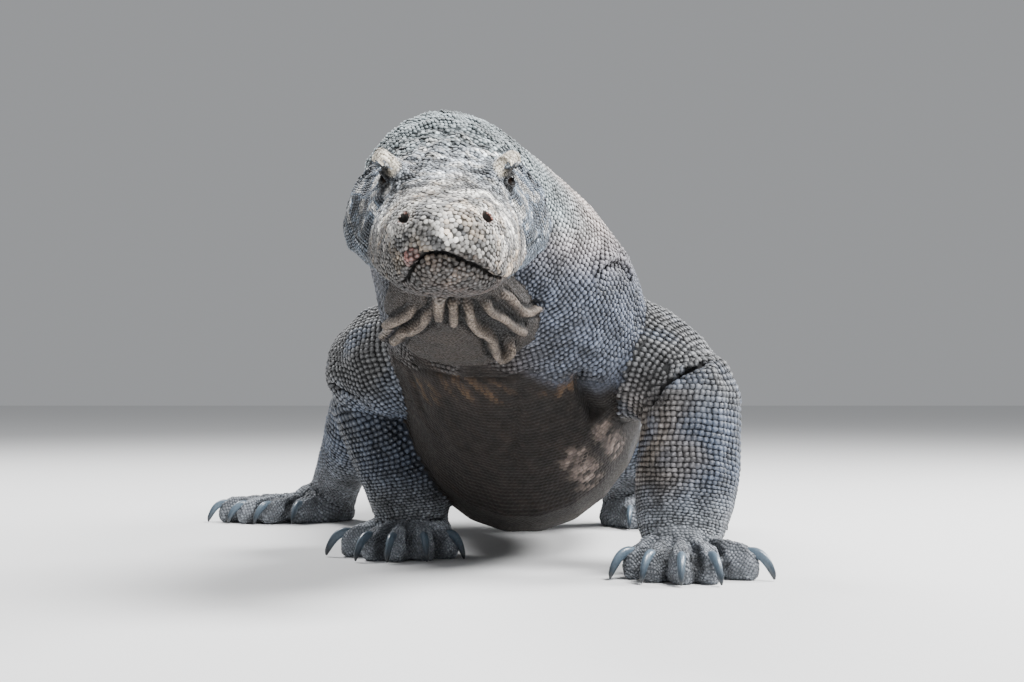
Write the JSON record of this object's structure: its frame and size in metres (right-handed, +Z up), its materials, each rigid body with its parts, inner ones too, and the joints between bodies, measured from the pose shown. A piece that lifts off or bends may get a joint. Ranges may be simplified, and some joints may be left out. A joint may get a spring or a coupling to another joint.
{
  "type": "komodo dragon",
  "caption": "Life-size still komodo dragon in a slow walk: heavy scaled body on spread clawed feet, head raised with the snout lowered, tail laid on the floor",
  "frame": {"origin": "The middle of the outer box on the floor, under the belly", "axes": "+Z up, -Y the way the animal faces, +X its left; millimetres in the source"},
  "size_m": [0.7275, 2.5685, 0.4627],
  "materials": {
    "skin": "matte, beaded scales in grey, tan and blue-grey over dark skin",
    "claw": "smooth blue-grey horn with darker tips",
    "eye": "wet dark brown, almost black"
  },
  "bodies": {
    "root": {"head": "skin", "lower_jaw": "skin", "neck": "skin", "throat": "skin", "trunk": "skin", "tail_base": "skin", "tail_middle": "skin", "tail_end": "skin", "leg_front_left_upper": "skin", "leg_front_left_lower": "skin", "foot_front_left": "skin", "leg_front_right_upper": "skin", "leg_front_right_lower": "skin", "foot_front_right": "skin", "leg_hind_left_upper": "skin", "leg_hind_left_lower": "skin", "foot_hind_left": "skin", "leg_hind_right_upper": "skin", "leg_hind_right_lower": "skin", "foot_hind_right": "skin", "claw_front_left_1": "claw", "claw_front_left_2": "claw", "claw_front_left_3": "claw", "claw_front_left_4": "claw", "claw_front_left_5": "claw", "claw_front_right_1": "claw", "claw_front_right_2": "claw", "claw_front_right_3": "claw", "claw_front_right_4": "claw", "claw_front_right_5": "claw", "claw_hind_left_1": "claw", "claw_hind_left_2": "claw", "claw_hind_left_3": "claw", "claw_hind_left_4": "claw", "claw_hind_left_5": "claw", "claw_hind_right_1": "claw", "claw_hind_right_2": "claw", "claw_hind_right_3": "claw", "claw_hind_right_4": "claw", "claw_hind_right_5": "claw", "eye_left": "eye", "eye_right": "eye"}
  },
  "joints": []
}
